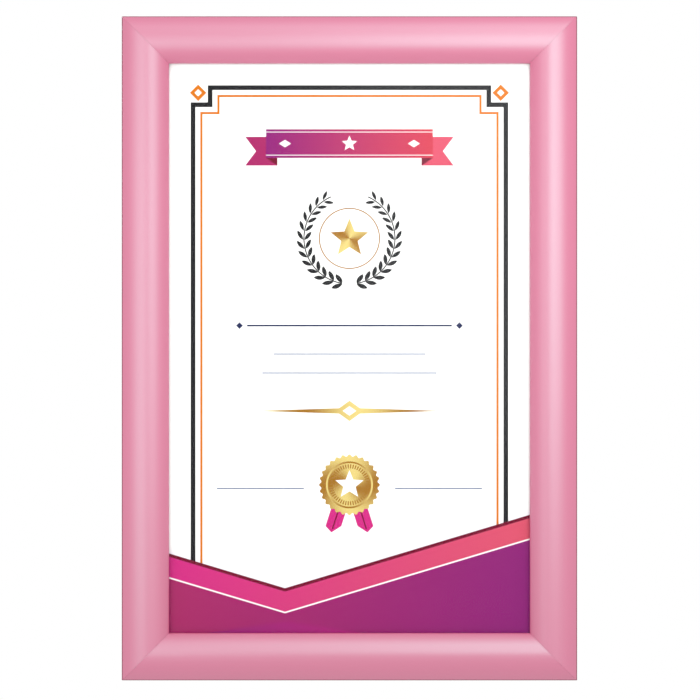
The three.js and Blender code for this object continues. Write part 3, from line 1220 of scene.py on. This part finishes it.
@dataclass
class FrontRail(Rail):
    """A snap rail: a curved shell, a bead to turn on, and an arm that the springs press."""

    width: float = 25.0
    depth: float = 12.5
    crown: float = 13.0
    shell: float = 1.2
    overhang: float = 1.0
    swing: float = 0.3
    shoulder: float = 1.6
    lip: float = 4.75
    lip_height: float = 1.75
    lip_round: float = 0.3
    root: float = 0.25
    play: float = 0.02
    worn: float = 0.03
    clear: float = 0.2

    def shell_edge(self) -> Vector:
        """Centre of the shell's round outer edge."""
        axis = self.side.hinge
        return Vector((axis.x - self.overhang, axis.y + axis.x + self.shell / 2 + self.swing))

    def section(self) -> BMesh:
        """Draws the section.

        Returns:
            A mesh of one face.
        """
        axis, pin, edge = self.side.hinge, self.hinge, self.shell_edge()
        span, rise = self.crown - edge.x, self.depth - self.shell / 2 - edge.y
        middle = (span**2 + rise**2) / (2 * rise)
        outer = middle + self.shell / 2
        edge_turn = 90 - math.degrees(math.acos(span / middle))
        knee = Vector((self.width - self.shoulder, self.lip + self.lip_height))
        reach, drop = knee.x - self.crown, self.depth - knee.y
        inner = (reach**2 + drop**2 - self.shoulder**2) / (2 * (drop - self.shoulder))
        knee_turn = math.degrees(math.acos(reach / (inner - self.shoulder)))
        lip_inner = self.width - self.shell
        lip_turn = math.degrees(math.acos((lip_inner - self.crown) / (inner - self.shell)))
        over_inner = Vector((self.crown, self.depth - inner))
        over_outer = Vector((self.crown, self.depth - outer))
        near, far = axis.x + pin.arm_inner, axis.x + pin.arm_outer

        def under(u: float) -> float:
            """Angle of the shell's underside at u, from the crown, in degrees."""
            return math.degrees(math.asin((self.crown - u) / (outer - self.shell)))

        low_neck = math.asin(pin.neck / 2 / pin.arm_inner)
        neck_turn = math.asin(pin.neck / 2 / pin.bead)
        nose = pin.nose_at(axis, self.side.foot)
        nose_turn = pin.nose_lean - math.degrees(math.atan2(*(self.side.foot - axis).yx))
        groove = pin.nose + pin.nose_play
        square = pin.arm_outer**2 + pin.nose_away**2 - groove**2
        opening = math.acos(square / (2 * pin.arm_outer * pin.nose_away))
        half_groove = math.degrees(opening)
        sine = pin.arm_outer * math.sin(opening) / groove
        groove_turn = 2 * math.degrees(math.asin(min(1.0, sine)))

        pen = Pen(lip_inner, self.lip)
        pen.to(self.width, self.lip, self.lip_round)
        pen.to(self.width, knee.y)
        pen.round(knee, knee_turn, KNEE_TURN)
        pen.round(over_inner, 90 - knee_turn, FINE_TURN)
        pen.round(over_outer, edge_turn, FINE_TURN)
        pen.round(edge, 180)
        pen.round(over_outer, under(near) - edge_turn, FINE_TURN)
        pen.to(near, axis.y + pin.neck / 2, self.root)
        pen.to(axis.x + pin.bead * math.cos(neck_turn), axis.y + pin.neck / 2)
        pen.round(axis, 360 - 2 * math.degrees(neck_turn))
        pen.to(axis.x + pin.arm_inner * math.cos(low_neck), axis.y - pin.neck / 2)
        pen.round(axis, math.degrees(low_neck) - nose_turn - pin.tail)
        pen.radially(axis, pin.arm_outer)
        pen.round(axis, pin.tail - half_groove)
        pen.round(nose, -groove_turn)
        pen.round(axis, nose_turn - half_groove)
        pen.to(far, over_outer.y + (outer - self.shell) * math.cos(math.radians(under(far))))
        pen.round(over_outer, -under(far), FINE_TURN)
        pen.round(over_inner, lip_turn - 90, FINE_TURN)
        return pen.face()

    def build(self) -> None:
        """Builds and dresses the rail, with its arm cut back at both ends."""
        side = self.side
        reach = side.hinge.x + self.hinge.arm_outer + self.clear
        roof = self.shell_edge().y - self.shell / 2 - self.clear
        tools = []
        for end in (-1, 1):
            ends = (end * (side.length / 2 - reach), end * (side.length / 2 + self.beyond))
            low = across(-2 * self.beyond, roof, min(ends))
            tools.append(block(low, across(reach, -self.beyond, max(ends))))
        self.finish("snap_rail", "front_rail", Body.FRONT, tools)


@dataclass
class BaseRail(Rail):
    """A base rail: a flat web on the wall, a hinge socket, a key channel and a spring seat."""

    seat: SpringSeat = SpringSeat()
    holes: bool = False
    width: float = 22.5
    web: float = 1.2
    wall: float = 0.9
    wall_rise: float = 0.4
    rib: float = 1.0
    channel_start: float = 8.15
    channel_end: float = 13.4
    roof: float = 3.5
    lip: float = 0.6
    lip_reach: float = 0.8
    edge_round: float = 0.3
    crest_round: float = 0.25
    root: float = 0.2
    channel_root: float = 0.15
    lip_round: float = 0.12
    hole: float = 2.25
    hole_flats: int = 48
    head_room: float = 3.7
    head_recess: float = 0.2
    hole_from_end: float = 58.0
    guide: float = 0.3
    grooves: tuple[float, ...] = (3.4, 4.8, 17.0, 18.4)
    groove: float = 0.3
    play: float = 0.08
    worn: float = 0.05

    def section(self) -> BMesh:
        """Draws the section.

        Returns:
            A mesh of one face.
        """
        axis, foot = self.side.hinge, self.side.foot
        pin, seat = self.hinge, self.seat
        wall_low = math.acos((axis.x - self.wall) / pin.socket_outer)
        wall_high = math.degrees(math.asin(self.wall_rise / pin.socket_outer))
        rib_turn = math.degrees(math.acos((self.channel_end - foot.x) / seat.outer))
        middle = (self.channel_start + self.channel_end) / 2
        ledge = self.channel_end + self.rib
        overhang = self.channel_start + self.lip_reach
        outside = self.channel_start - self.rib
        crest = self.roof + self.lip

        pen = Pen(0.0, 0.0)
        for line in self.grooves:
            pen.to(line - self.groove, 0)
            pen.to(line, self.groove)
            pen.to(line + self.groove, 0)
        pen.to(self.width, 0, self.edge_round)
        pen.to(self.width, self.web, self.edge_round)
        pen.to(ledge, self.web, self.root)
        pen.to(ledge, foot.y)
        pen.round(foot, seat.mouth_start)
        pen.radially(foot, seat.inner)
        pen.round(foot, seat.mouth_end - 360 - seat.mouth_start)
        pen.radially(foot, seat.outer)
        pen.round(foot, 360 - seat.mouth_end - rib_turn)
        pen.to(self.channel_end, self.web, self.root)
        pen.to(middle + self.guide, self.web)
        pen.to(middle, self.web - self.guide)
        pen.to(middle - self.guide, self.web)
        pen.to(self.channel_start, self.web, self.channel_root)
        pen.to(self.channel_start, self.roof)
        pen.to(overhang, self.roof, self.lip_round)
        pen.to(overhang, crest, self.root)
        pen.to(outside, crest, self.crest_round)
        pen.to(outside, self.web, self.root)
        pen.to(self.wall, self.web, self.crest_round)
        pen.to(self.wall, axis.y - pin.socket_outer * math.sin(wall_low))
        pen.round(axis, 180 - math.degrees(wall_low) - pin.mouth)
        pen.radially(axis, pin.socket_inner)
        pen.round(axis, 2 * pin.mouth + 90 - 360)
        pen.radially(axis, pin.socket_outer)
        pen.round(axis, 90 - wall_high - pin.mouth)
        pen.to(0.0, axis.y + self.wall_rise, self.root)
        return pen.face()

    def drills(self) -> list[BMesh]:
        """The shapes that the wall screws and their heads need.

        Returns:
            A closed piece for each screw.
        """
        line = (self.channel_start + self.channel_end) / 2
        floor, above = self.web - self.head_recess, self.roof * 3
        outline = [(0.0, -self.beyond), (self.hole, -self.beyond), (self.hole, floor)]
        outline += [(self.head_room, floor), (self.head_room, above), (0.0, above)]
        places = [end * (self.side.length / 2 - self.hole_from_end) for end in (-1, 1)]
        shifts = [Matrix.Translation(across(line, 0, x)) for x in places]
        return [moved(turned(outline, self.hole_flats), shift) for shift in shifts]

    def build(self) -> None:
        """Builds and dresses the rail."""
        tools = self.drills() if self.holes else []
        self.finish("wall_rail", "base_rail", Body.BASE, tools)


@dataclass
class FlatSpring:
    """A bowed steel strip with a rolled foot and a rolled nose."""

    side: Side
    hinge: Hinge
    number: int
    middle: float
    length: float = 15.0
    thickness: float = 0.46
    foot_curl: float = 0.27
    foot_start: float = 165.0
    nose_curl: float = 0.22
    nose_start: float = 60.0
    curl_turn: float = 285.0
    curl_steps: int = 5
    smoothness: int = 6
    bow: tuple[tuple[float, float], ...] = (
        (0.13, 0.055),
        (0.24, 0.18),
        (0.33, 0.265),
        (0.47, 0.33),
        (0.67, 0.32),
        (0.81, 0.22),
        (0.89, 0.12),
    )

    def curl(self, centre: Vector, radius: float, start: float) -> list[Vector]:
        """Points round a rolled end.

        Args:
            centre: of the roll, as (u, v).
            radius: of the strip's middle.
            start: where it begins, in degrees.

        Returns:
            The points in order.
        """
        shares = [i / self.curl_steps for i in range(self.curl_steps + 1)]
        turns = [math.radians(start + self.curl_turn * share) for share in shares]
        return [centre + Vector((math.cos(a), math.sin(a))) * radius for a in turns]

    def route(self) -> list[Vector]:
        """The middle of the strip's section, from its nose to its foot, as (u, v).

        Returns:
            The points that a smooth curve runs through.
        """
        axis, foot = self.side.hinge, self.side.foot
        nose = self.hinge.nose_at(axis, foot)
        span = foot - nose
        rise = Vector((-span.y, span.x))
        middle = [nose + span * along + rise * high for along, high in self.bow]
        nose_curl = self.curl(nose, self.nose_curl, self.nose_start)
        return nose_curl + middle + self.curl(foot, self.foot_curl, self.foot_start)

    def strip(self) -> BMesh:
        """Bends the strip, without its thickness.

        Returns:
            The strip in X and Y, with its width along Z.
        """
        curve = bpy.data.curves.new("strip", "CURVE")
        curve.dimensions = "2D"
        curve.fill_mode = "NONE"
        curve.resolution_u = self.smoothness
        curve.extrude = self.length / 2 * MM
        spline = curve.splines.new("BEZIER")
        route = self.route()
        spline.bezier_points.add(len(route) - 1)
        for knot, point in zip(spline.bezier_points, route):
            knot.co = (point.x * MM, point.y * MM, 0)
            knot.handle_left_type = knot.handle_right_type = "AUTO"
        bent = placed("strip", curve)
        mesh = bmesh.new()
        mesh.from_mesh(settled(bent))
        bpy.data.objects.remove(bent)
        return mesh

    def build(self, finishes: Sequence[Material]) -> None:
        """Builds and dresses the spring.

        Args:
            finishes: the steel.
        """
        side, mesh = self.side, self.strip()
        bmesh.ops.remove_doubles(mesh, verts=mesh.verts, dist=FINE_WELD * MM)
        bmesh.ops.solidify(mesh, geom=mesh.faces[:], thickness=self.thickness * MM)
        to_rail = Matrix(((0, 0, 1, 0), (0, -1, 0, 0), (1, 0, 0, 0), (0, 0, 0, 1)))
        along = Matrix.Translation(across(0, 0, self.middle))
        moved(mesh, side.matrix @ along @ to_rail)
        bmesh.ops.recalc_face_normals(mesh, faces=mesh.faces)
        thing = held(f"flat_spring_{side.name}_{self.number}", mesh, finishes)
        dress(thing, side.body(Body.SPRINGS), f"spring_{side.name}_{self.number}")


@dataclass
class Corner:
    """A corner key and its two set screws."""

    name: str
    turn: float
    extent: Extent
    key_start: float = 8.35
    key_width: float = 4.85
    key_leg: float = 38.0
    key_back: float = 1.4
    key_front: float = 3.3
    key_round: float = 1.3
    key_edge: float = 0.18
    screw_line: float = 10.45
    screw_distance: float = 27.0
    screw: float = 1.25
    screw_play: float = 0.2
    screw_back: float = 1.3
    screw_length: float = 2.6
    screw_tip: float = 0.8
    screw_flats: int = 32
    pitch: float = 0.45
    thread: float = 0.2
    plain: float = 0.6
    chamfer: float = 0.25
    hexagon: float = 0.75
    hexagon_depth: float = 1.3
    beyond: float = 1.0  # how far a cutter stands out

    def matrix(self) -> Matrix:
        """From the lower left corner's place to this corner's.

        Returns:
            The move.
        """
        x = (self.extent.low if "left" in self.name else self.extent.high).x
        z = (self.extent.low if "bottom" in self.name else self.extent.high).z
        return Matrix.Translation((x, 0, z)) @ Matrix.Rotation(self.turn, 4, "Y")

    def screws(self) -> list[Matrix]:
        """Where the screws are, in the lower left corner's place."""
        first = Vector((self.screw_distance, self.screw_line))
        return [Matrix.Translation((p.x * MM, 0, p.y * MM)) for p in (first, first.yx)]

    def key(self, zinc: Material) -> Object:
        """Builds the stamped L, with tapped holes.

        Args:
            zinc: its finish.

        Returns:
            The key, in the lower left corner's place.
        """
        start, end, leg = self.key_start, self.key_start + self.key_width, self.key_leg
        outline = ((start, start), (leg, start), (leg, end), (end, end), (end, leg), (start, leg))
        mesh = bmesh.new()
        verts = [mesh.verts.new((x * MM, -self.key_back * MM, z * MM)) for x, z in outline]
        mesh.faces.new(verts)
        soften(mesh, verts[:3] + verts[4:], self.key_round, EDGE_STEPS, "VERTICES")
        thickened(mesh, Vector((0, -(self.key_front - self.key_back) * MM, 0)))
        soften(mesh, flat_rims(mesh), self.key_edge, EDGE_STEPS)
        thing = held(f"key_{self.name}", mesh, [zinc])
        bore = self.screw + self.screw_play
        rim, above = bore + self.chamfer, self.key_front + self.beyond
        outline = [(0.0, 0.0), (rim, 0.0), (rim, self.key_back)]
        outline += [(bore, self.key_back + self.chamfer), (bore, self.key_front - self.chamfer)]
        outline += [(rim, self.key_front), (rim, above), (0.0, above)]
        carve(thing, [moved(turned(outline, self.screw_flats), place) for place in self.screws()])
        return thing

    def grub_screw(self, name: str, black: Material) -> Object:
        """Builds one set screw round the origin: a threaded pin with a hexagon socket.

        Args:
            name: of the screw.
            black: its finish.

        Returns:
            The screw.
        """
        back, front = self.screw_back, self.screw_back + self.screw_length
        outline = [(0.0, back), (self.screw_tip, back)]
        turns = int((self.screw_length - self.plain) / self.pitch)
        for i in range(2 * turns + 1):
            radius = self.screw if i % 2 else self.screw - self.thread
            outline.append((radius, back + self.chamfer + i / 2 * self.pitch))
        outline += [(self.screw - self.chamfer, front), (0.0, front)]
        thing = held(name, turned(outline, self.screw_flats), [black])
        socket = bmesh.new()
        lie = Matrix.Translation(across(0, front + (self.beyond - self.hexagon_depth) / 2))
        bmesh.ops.create_cone(
            socket,
            cap_ends=True,
            segments=6,
            radius1=self.hexagon * MM,
            radius2=self.hexagon * MM,
            depth=(self.hexagon_depth + self.beyond) * MM,
            matrix=lie @ Matrix.Rotation(math.pi / 2, 4, "X"),
        )
        carve(thing, [socket])
        return thing

    def build(self, zinc: Material, black: Material) -> None:
        """Builds and dresses the key and its screws.

        Args:
            zinc: the key's finish.
            black: the screws' finish.
        """
        place = self.matrix()
        key = self.key(zinc)
        key.data.transform(place)
        dress(key, Body.BASE.value, f"corner_key_{self.name}")
        for number, spot in enumerate(self.screws(), 1):
            screw = self.grub_screw(f"grub_screw_{self.name}_{number}", black)
            screw.data.transform(place @ spot)
            dress(screw, Body.BASE.value, f"set_screw_{self.name}_{number}")


@dataclass
class Sheets:
    """The back panel, the printed card and the clear cover."""

    edge: float = 0.12
    edge_share: float = 0.3  # of a sheet's thickness, at most
    corner: float = 1.0

    def sheet(self, name: str, node: str, finish: Material) -> None:
        """Builds one flat sheet in the place of its node.

        Args:
            name: of the piece.
            node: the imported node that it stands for, and its material slot.
            finish: its material.
        """
        low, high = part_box(node)
        mesh = block(low, high)
        upright = [e for e in mesh.edges if e.verts[0].co.y != e.verts[1].co.y]
        soften(mesh, upright, self.corner, FILLET_STEPS)
        edge = min(self.edge, (high.y - low.y) / MM * self.edge_share)
        soften(mesh, flat_rims(mesh), edge, WORN_STEPS)
        dress(held(name, mesh, [finish]), Body.BASE.value, node)

    def build(self) -> None:
        """Builds all three."""
        low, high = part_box("print_sheet")
        card = PrintedCard(centre=(low + high) / 2).material()
        self.sheet("backing_board", "back_panel", SHEET_PLASTIC.material())
        self.sheet("certificate_card", "print_sheet", card)
        self.sheet("clear_cover", "cover_sheet", ClearSheet().material())


@dataclass(frozen=True)
class Softbox:
    """A square light. Places are measured from the middle of the frame, in metres."""

    name: str
    place: Vector
    power: float  # in watts
    size: float = 0.46
    aim: Vector = Vector()
    spread: float = math.pi  # radians, or less with a grid

    def build(self, middle: Vector) -> None:
        """Hangs the light.

        Args:
            middle: of the frame.
        """
        light = bpy.data.lights.new(self.name, "AREA")
        light.size = self.size
        light.energy = self.power
        light.spread = self.spread
        lamp = placed(self.name, light)
        lamp.location = middle + self.place
        lamp.rotation_euler = (self.aim - self.place).to_track_quat("-Z", "Y").to_euler()
        lamp.visible_camera = False


GRID = 1.75  # radians of light that a grid lets out
SOFTBOXES = (
    Softbox("left_softbox", Vector((-0.38, -0.55, 0.04)), 0.54, 0.46, Vector((-0.36, 0, 0.03)), GRID),
    Softbox("right_softbox", Vector((0.22, -0.55, 0.16)), 0.75, 0.46, Vector((0.21, 0, 0.13)), GRID),
    Softbox("top_softbox", Vector((0.4, -1.35, 1.4)), 6.4, 0.9),
    Softbox("rear_softbox", Vector((-0.3, 0.75, 0.3)), 3.5),
)


@dataclass
class Studio:
    """A pale floor, white surroundings, softboxes in front and behind, and the camera."""

    extent: Extent
    pixels: float = 700.0
    frame_pixels: float = 454.9  # the frame's width in the picture
    offset_x: float = 0.55  # pixels that the frame stands left of the middle
    offset_z: float = 1.65  # pixels that it stands above it
    lens: float = 200.0
    sensor: float = 36.0
    floor_drop: float = 1.4
    floor_half: float = 3.0

    def build(self) -> None:
        """Sets everything up round the frame."""
        self.surroundings()
        self.floor()
        for softbox in SOFTBOXES:
            softbox.build(self.extent.middle)
        self.camera()

    def surroundings(self) -> None:
        """Makes the world plain white."""
        world = bpy.data.worlds.new("white_studio")
        world.use_nodes = True
        world.node_tree.nodes["Background"].inputs["Color"].default_value = (1, 1, 1, 1)
        world.node_tree.nodes["Background"].inputs["Strength"].default_value = 1.0
        bpy.context.scene.world = world
        bpy.context.scene.view_settings.view_transform = "Standard"

    def floor(self) -> None:
        """Lays the floor below the frame."""
        mesh = bmesh.new()
        lie = Matrix.Translation((0, 0, self.extent.low.z - self.floor_drop))
        bmesh.ops.create_grid(mesh, x_segments=2, y_segments=2, size=self.floor_half, matrix=lie)
        held("floor", mesh, [PALE_FLOOR.material()])

    def camera(self) -> None:
        """Sets the camera square in front of the frame."""
        low, high, middle = self.extent.low, self.extent.high, self.extent.middle
        pixel = (high.x - low.x) / self.frame_pixels
        eye = bpy.data.cameras.new("camera")
        eye.lens, eye.sensor_width = self.lens, self.sensor
        camera = placed("camera", eye)
        distance = self.pixels * pixel * self.lens / self.sensor
        x = middle.x + self.offset_x * pixel
        z = middle.z - self.offset_z * pixel
        camera.location = (x, low.y / 2 - distance, z)
        camera.rotation_euler = (math.pi / 2, 0, 0)
        bpy.context.scene.camera = camera


def main() -> None:
    """Builds the frame's pieces in order."""
    logging.basicConfig(level=logging.INFO, format="%(name)s: %(message)s")
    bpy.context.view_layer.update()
    boxes = [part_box(f"base_rail_{name}") for name in ("bottom", "top", "left", "right")]
    extent = Extent(
        Vector(min(box[0][i] for box in boxes) for i in range(3)),
        Vector(max(box[1][i] for box in boxes) for i in range(3)),
    )
    coats = {way: (PAINTED_SHADE_PINK.material(way), PINK.material(way)) for way in Way}
    sawn_metal, steel = SAWN_ALUMINIUM.material(), SPRING_STEEL.material()
    zinc, black = ZINC_PLATE.material(), BLACK_OXIDE.material()
    hinge, quarter = Hinge(), math.pi / 2
    for name, turns in (("bottom", 0), ("right", -1), ("top", 2), ("left", 1)):
        side = Side.read(name, turns * quarter, extent)
        way = Way.LEVEL if name in ("bottom", "top") else Way.UPRIGHT
        # deep is the darker copy of the coat, painted shade on the base rails; light is the plain pink coat
        # of the snap rails
        deep, light = coats[way]
        BaseRail(side, hinge, [deep, sawn_metal], holes=way is Way.LEVEL).build()
        FrontRail(side, hinge, [light, sawn_metal]).build()
        for number, middle in side.springs():
            FlatSpring(side, hinge, number, middle).build([steel])
    corners = (("bottom_left", 0), ("bottom_right", -1), ("top_right", 2), ("top_left", 1))
    for name, turns in corners:
        Corner(name, turns * quarter, extent).build(zinc, black)
    Sheets().build()
    Studio(extent).build()


if __name__ == "__main__":
    main()
